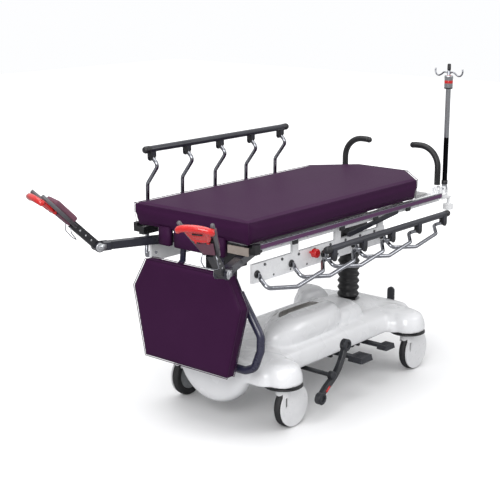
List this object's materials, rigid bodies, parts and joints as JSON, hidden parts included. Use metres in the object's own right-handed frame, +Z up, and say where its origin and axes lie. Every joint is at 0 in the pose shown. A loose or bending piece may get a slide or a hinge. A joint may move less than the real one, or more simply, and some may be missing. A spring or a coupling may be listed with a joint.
{
  "type": "hospital stretcher",
  "caption": "Hospital stretcher on a hooded swivel-caster base with column jacks, drop-down side rails, raising backrest, hanging foot section and swing-out foot supports.",
  "frame": {"origin": "on the floor below the centre of the whole part's bounding box", "axes": "+X towards the head end, +Y towards the far side, +Z up; near side is -Y"},
  "size_m": [2.0822, 1.0364, 1.505],
  "materials": {
    "white_shell": "gloss",
    "white_plastic": "gloss",
    "white_metal": "gloss paint",
    "dark_steel": "satin black paint",
    "navy_metal": "satin navy paint",
    "black_plastic": "fine texture",
    "black_tube": "black sleeve",
    "bellows_rubber": "matt",
    "tyre_rubber": "matt",
    "chrome": "polished",
    "plum_vinyl": "coated cloth",
    "mauve_pad": "coated cloth",
    "purple_strip": "gloss",
    "grey_board": "plain",
    "red_plastic": "gloss"
  },
  "bodies": {
    "base": {"base_frame": "dark_steel", "base_hood": "white_shell", "hood_chin": "white_shell", "hood_dome": "white_shell", "caster_collars": "black_plastic", "foot_bellows": "bellows_rubber", "head_bellows": "bellows_rubber"},
    "caster_near_foot": {"caster_near_foot_cover": "white_plastic"},
    "wheel_near_foot": {"caster_near_foot_wheel": "tyre_rubber"},
    "caster_near_head": {"caster_near_head_cover": "white_plastic"},
    "wheel_near_head": {"caster_near_head_wheel": "tyre_rubber"},
    "caster_far_foot": {"caster_far_foot_cover": "white_plastic"},
    "wheel_far_foot": {"caster_far_foot_wheel": "tyre_rubber"},
    "caster_far_head": {"caster_far_head_cover": "white_plastic"},
    "wheel_far_head": {"caster_far_head_wheel": "tyre_rubber"},
    "brake": {"brake_rockers": "dark_steel"},
    "paddle": {"head_paddle": "black_plastic"},
    "pump_pedal_near": {"pump_pedal_near": "black_plastic"},
    "release_pedal_near": {"release_pedal_near": "black_plastic"},
    "pump_pedal_far": {"pump_pedal_far": "black_plastic"},
    "release_pedal_far": {"release_pedal_far": "black_plastic"},
    "foot_jack": {"foot_jack_ram": "dark_steel"},
    "head_jack": {"head_jack_ram": "dark_steel"},
    "litter": {"litter_frame": "white_metal", "litter_deck": "grey_board", "side_strips": "purple_strip", "corner_blocks": "black_plastic", "seat_mattress": "plum_vinyl", "jack_heads": "dark_steel", "head_brackets": "white_metal"},
    "backrest": {"backrest_deck": "grey_board", "back_mattress": "plum_vinyl"},
    "release_handle_near": {"release_handle_near": "black_plastic"},
    "rail_latch_near": {"rail_latch_near": "red_plastic"},
    "push_handle_near": {"push_handle_near": "black_plastic"},
    "release_handle_far": {"release_handle_far": "black_plastic"},
    "rail_latch_far": {"rail_latch_far": "red_plastic"},
    "push_handle_far": {"push_handle_far": "black_plastic"},
    "pole": {"pole_tube": "chrome"},
    "pole_rod": {"pole_rod": "chrome"},
    "foot_section": {"foot_section_frame": "navy_metal", "foot_section_cushion": "plum_vinyl"},
    "support_near": {"support_arm_near": "navy_metal"},
    "footrest_near": {"footrest_frame_near": "navy_metal", "footrest_pad_near": "mauve_pad"},
    "footrest_lever_near": {"footrest_lever_near": "red_plastic"},
    "support_far": {"support_arm_far": "navy_metal"},
    "footrest_far": {"footrest_frame_far": "navy_metal", "footrest_pad_far": "mauve_pad"},
    "footrest_lever_far": {"footrest_lever_far": "red_plastic"},
    "spindle_near_1": {"spindle_near_1": "chrome"},
    "spindle_near_2": {"spindle_near_2": "chrome"},
    "spindle_near_3": {"spindle_near_3": "chrome"},
    "spindle_near_4": {"spindle_near_4": "chrome"},
    "spindle_near_5": {"spindle_near_5": "chrome"},
    "rail_bar_near": {"rail_bar_near": "black_tube"},
    "spindle_far_1": {"spindle_far_1": "chrome"},
    "spindle_far_2": {"spindle_far_2": "chrome"},
    "spindle_far_3": {"spindle_far_3": "chrome"},
    "spindle_far_4": {"spindle_far_4": "chrome"},
    "spindle_far_5": {"spindle_far_5": "chrome"},
    "rail_bar_far": {"rail_bar_far": "black_tube"}
  },
  "joints": [
    {"name": "swivel_near_foot", "type": "hinge", "parent": "base", "child": "caster_near_foot", "pos_m": [-0.3, -0.304, 0.24], "axis": [0, 0, 1], "continuous": true},
    {"name": "wheel_near_foot", "type": "hinge", "parent": "caster_near_foot", "child": "wheel_near_foot", "pos_m": [-0.25, -0.304, 0.1], "axis": [0, 1, 0], "continuous": true},
    {"name": "swivel_near_head", "type": "hinge", "parent": "base", "child": "caster_near_head", "pos_m": [0.693, -0.304, 0.24], "axis": [0, 0, 1], "continuous": true},
    {"name": "wheel_near_head", "type": "hinge", "parent": "caster_near_head", "child": "wheel_near_head", "pos_m": [0.743, -0.304, 0.1], "axis": [0, 1, 0], "continuous": true},
    {"name": "swivel_far_foot", "type": "hinge", "parent": "base", "child": "caster_far_foot", "pos_m": [-0.3, 0.304, 0.24], "axis": [0, 0, 1], "continuous": true},
    {"name": "wheel_far_foot", "type": "hinge", "parent": "caster_far_foot", "child": "wheel_far_foot", "pos_m": [-0.25, 0.304, 0.1], "axis": [0, 1, 0], "continuous": true},
    {"name": "swivel_far_head", "type": "hinge", "parent": "base", "child": "caster_far_head", "pos_m": [0.693, 0.304, 0.24], "axis": [0, 0, 1], "continuous": true},
    {"name": "wheel_far_head", "type": "hinge", "parent": "caster_far_head", "child": "wheel_far_head", "pos_m": [0.743, 0.304, 0.1], "axis": [0, 1, 0], "continuous": true},
    {"name": "brake_rock", "type": "hinge", "parent": "base", "child": "brake", "pos_m": [-0.047, 0, 0.196], "axis": [0, 1, 0], "range_deg": [0, 25]},
    {"name": "head_paddle_rock", "type": "hinge", "parent": "base", "child": "paddle", "pos_m": [0.944, -0.04, 0.204], "axis": [0, 1, 0], "range_deg": [0, 10]},
    {"name": "pump_press_near", "type": "hinge", "parent": "base", "child": "pump_pedal_near", "pos_m": [0.218, -0.19, 0.196], "axis": [1, 0, 0], "range_deg": [0, 15], "stiffness_Nm_per_rad": 20, "springref_deg": -8.59},
    {"name": "release_press_near", "type": "hinge", "parent": "base", "child": "release_pedal_near", "pos_m": [0.443, -0.19, 0.196], "axis": [1, 0, 0], "range_deg": [0, 15], "stiffness_Nm_per_rad": 20, "springref_deg": -8.59},
    {"name": "pump_press_far", "type": "hinge", "parent": "base", "child": "pump_pedal_far", "pos_m": [0.218, 0.19, 0.196], "axis": [-1, 0, 0], "range_deg": [0, 15], "stiffness_Nm_per_rad": 20, "springref_deg": -8.59},
    {"name": "release_press_far", "type": "hinge", "parent": "base", "child": "release_pedal_far", "pos_m": [0.443, 0.19, 0.196], "axis": [-1, 0, 0], "range_deg": [0, 15], "stiffness_Nm_per_rad": 20, "springref_deg": -8.59},
    {"name": "lift", "type": "slide", "parent": "base", "child": "foot_jack", "axis": [0, 0, 1], "range_m": [-0.17, 0], "deforming": ["foot_bellows", "head_bellows"]},
    {"name": "litter_tilt", "type": "hinge", "parent": "foot_jack", "child": "litter", "pos_m": [-0.322, 0, 0.646], "axis": [0, 1, 0], "range_deg": [0, 12]},
    {"name": "head_jack_slide", "type": "slide", "parent": "foot_jack", "child": "head_jack", "axis": [0, 0, 1], "range_m": [-0.2, 0], "deforming": ["head_bellows"]},
    {"name": "backrest_raise", "type": "hinge", "parent": "litter", "child": "backrest", "pos_m": [0.088, 0, 0.857], "axis": [0, -1, 0], "range_deg": [0, 70]},
    {"name": "release_lift_near", "type": "hinge", "parent": "litter", "child": "release_handle_near", "pos_m": [0.534, -0.321, 0.84], "axis": [0, 1, 0], "range_deg": [0, 8], "stiffness_Nm_per_rad": 10, "springref_deg": -5.73},
    {"name": "latch_pull_near", "type": "slide", "parent": "litter", "child": "rail_latch_near", "axis": [0, -1, 0], "range_m": [0, 0.01], "stiffness_N_per_m": 800, "springref_m": -0.01},
    {"name": "push_handle_fold_near", "type": "hinge", "parent": "litter", "child": "push_handle_near", "pos_m": [0.962, -0.283, 0.88], "axis": [-1, 0, 0], "range_deg": [0, 90]},
    {"name": "release_lift_far", "type": "hinge", "parent": "litter", "child": "release_handle_far", "pos_m": [0.534, 0.321, 0.84], "axis": [0, 1, 0], "range_deg": [0, 8], "stiffness_Nm_per_rad": 10, "springref_deg": -5.73},
    {"name": "latch_pull_far", "type": "slide", "parent": "litter", "child": "rail_latch_far", "axis": [0, 1, 0], "range_m": [0, 0.01], "stiffness_N_per_m": 800, "springref_m": -0.01},
    {"name": "push_handle_fold_far", "type": "hinge", "parent": "litter", "child": "push_handle_far", "pos_m": [0.962, 0.283, 0.88], "axis": [1, 0, 0], "range_deg": [0, 90]},
    {"name": "pole_fold", "type": "hinge", "parent": "litter", "child": "pole", "pos_m": [1, -0.303, 0.884], "axis": [-1, 0, 0], "range_deg": [0, 90]},
    {"name": "pole_extend", "type": "slide", "parent": "pole", "child": "pole_rod", "axis": [0, 0, 1], "range_m": [0, 0.45]},
    {"name": "foot_section_raise", "type": "hinge", "parent": "litter", "child": "foot_section", "pos_m": [-0.472, 0, 0.858], "axis": [0, 1, 0], "range_deg": [0, 85]},
    {"name": "support_swing_near", "type": "hinge", "parent": "litter", "child": "support_near", "pos_m": [-0.317, -0.175, 0.806], "axis": [0, 0, 1], "range_deg": [-14, 20]},
    {"name": "footrest_raise_near", "type": "hinge", "parent": "support_near", "child": "footrest_near", "pos_m": [-0.754, -0.356, 0.806], "axis": [-0.3404, 0.9403, 0], "range_deg": [-35, 45]},
    {"name": "lever_squeeze_near", "type": "hinge", "parent": "footrest_near", "child": "footrest_lever_near", "pos_m": [-0.93933, -0.42309, 0.97912], "axis": [-0.3404, 0.9403, 0], "range_deg": [0, 12], "stiffness_Nm_per_rad": 6, "springref_deg": -8.59},
    {"name": "support_swing_far", "type": "hinge", "parent": "litter", "child": "support_far", "pos_m": [-0.317, 0.175, 0.806], "axis": [0, 0, -1], "range_deg": [-14, 20]},
    {"name": "footrest_raise_far", "type": "hinge", "parent": "support_far", "child": "footrest_far", "pos_m": [-0.754, 0.356, 0.806], "axis": [0.3404, 0.9403, 0], "range_deg": [-35, 45]},
    {"name": "lever_squeeze_far", "type": "hinge", "parent": "footrest_far", "child": "footrest_lever_far", "pos_m": [-0.93933, 0.42309, 0.97912], "axis": [0.3404, 0.9403, 0], "range_deg": [0, 12], "stiffness_Nm_per_rad": 6, "springref_deg": -8.59},
    {"name": "rail_swing_near_1", "type": "hinge", "parent": "litter", "child": "spindle_near_1", "pos_m": [-0.474, -0.302, 0.738], "axis": [0, -1, 0], "range_deg": [0, 76.6]},
    {"name": "rail_swing_near_2", "type": "hinge", "parent": "litter", "child": "spindle_near_2", "pos_m": [-0.2444, -0.302, 0.738], "axis": [0, -1, 0], "range_deg": [0, 76.6]},
    {"name": "rail_swing_near_3", "type": "hinge", "parent": "litter", "child": "spindle_near_3", "pos_m": [-0.0148, -0.302, 0.738], "axis": [0, -1, 0], "range_deg": [0, 76.6]},
    {"name": "rail_swing_near_4", "type": "hinge", "parent": "litter", "child": "spindle_near_4", "pos_m": [0.2148, -0.302, 0.738], "axis": [0, -1, 0], "range_deg": [0, 76.6]},
    {"name": "rail_swing_near_5", "type": "hinge", "parent": "litter", "child": "spindle_near_5", "pos_m": [0.4444, -0.302, 0.738], "axis": [0, -1, 0], "range_deg": [0, 76.6]},
    {"name": "rail_bar_level_near", "type": "hinge", "parent": "spindle_near_1", "child": "rail_bar_near", "pos_m": [-0.06186, -0.385, 0.74264], "axis": [0, -1, 0], "range_deg": [-76.6, 0]},
    {"name": "rail_swing_far_1", "type": "hinge", "parent": "litter", "child": "spindle_far_1", "pos_m": [-0.474, 0.302, 0.738], "axis": [0, 1, 0], "range_deg": [0, 76.6]},
    {"name": "rail_swing_far_2", "type": "hinge", "parent": "litter", "child": "spindle_far_2", "pos_m": [-0.2444, 0.302, 0.738], "axis": [0, 1, 0], "range_deg": [0, 76.6]},
    {"name": "rail_swing_far_3", "type": "hinge", "parent": "litter", "child": "spindle_far_3", "pos_m": [-0.0148, 0.302, 0.738], "axis": [0, 1, 0], "range_deg": [0, 76.6]},
    {"name": "rail_swing_far_4", "type": "hinge", "parent": "litter", "child": "spindle_far_4", "pos_m": [0.2148, 0.302, 0.738], "axis": [0, 1, 0], "range_deg": [0, 76.6]},
    {"name": "rail_swing_far_5", "type": "hinge", "parent": "litter", "child": "spindle_far_5", "pos_m": [0.4444, 0.302, 0.738], "axis": [0, 1, 0], "range_deg": [0, 76.6]},
    {"name": "rail_bar_level_far", "type": "hinge", "parent": "spindle_far_1", "child": "rail_bar_far", "pos_m": [-0.383, 0.385, 1.14], "axis": [0, 1, 0], "range_deg": [-76.6, 0]}
  ],
  "couplings": [
    {"joint": "head_paddle_rock", "follows": "brake_rock", "ratio": 0.4},
    {"joint": "head_jack_slide", "follows": "litter_tilt", "m_per_rad": -0.932},
    {"joint": "rail_swing_near_2", "follows": "rail_swing_near_1", "ratio": 1},
    {"joint": "rail_swing_near_3", "follows": "rail_swing_near_1", "ratio": 1},
    {"joint": "rail_swing_near_4", "follows": "rail_swing_near_1", "ratio": 1},
    {"joint": "rail_swing_near_5", "follows": "rail_swing_near_1", "ratio": 1},
    {"joint": "rail_bar_level_near", "follows": "rail_swing_near_1", "ratio": -1},
    {"joint": "rail_swing_far_2", "follows": "rail_swing_far_1", "ratio": 1},
    {"joint": "rail_swing_far_3", "follows": "rail_swing_far_1", "ratio": 1},
    {"joint": "rail_swing_far_4", "follows": "rail_swing_far_1", "ratio": 1},
    {"joint": "rail_swing_far_5", "follows": "rail_swing_far_1", "ratio": 1},
    {"joint": "rail_bar_level_far", "follows": "rail_swing_far_1", "ratio": -1}
  ]
}
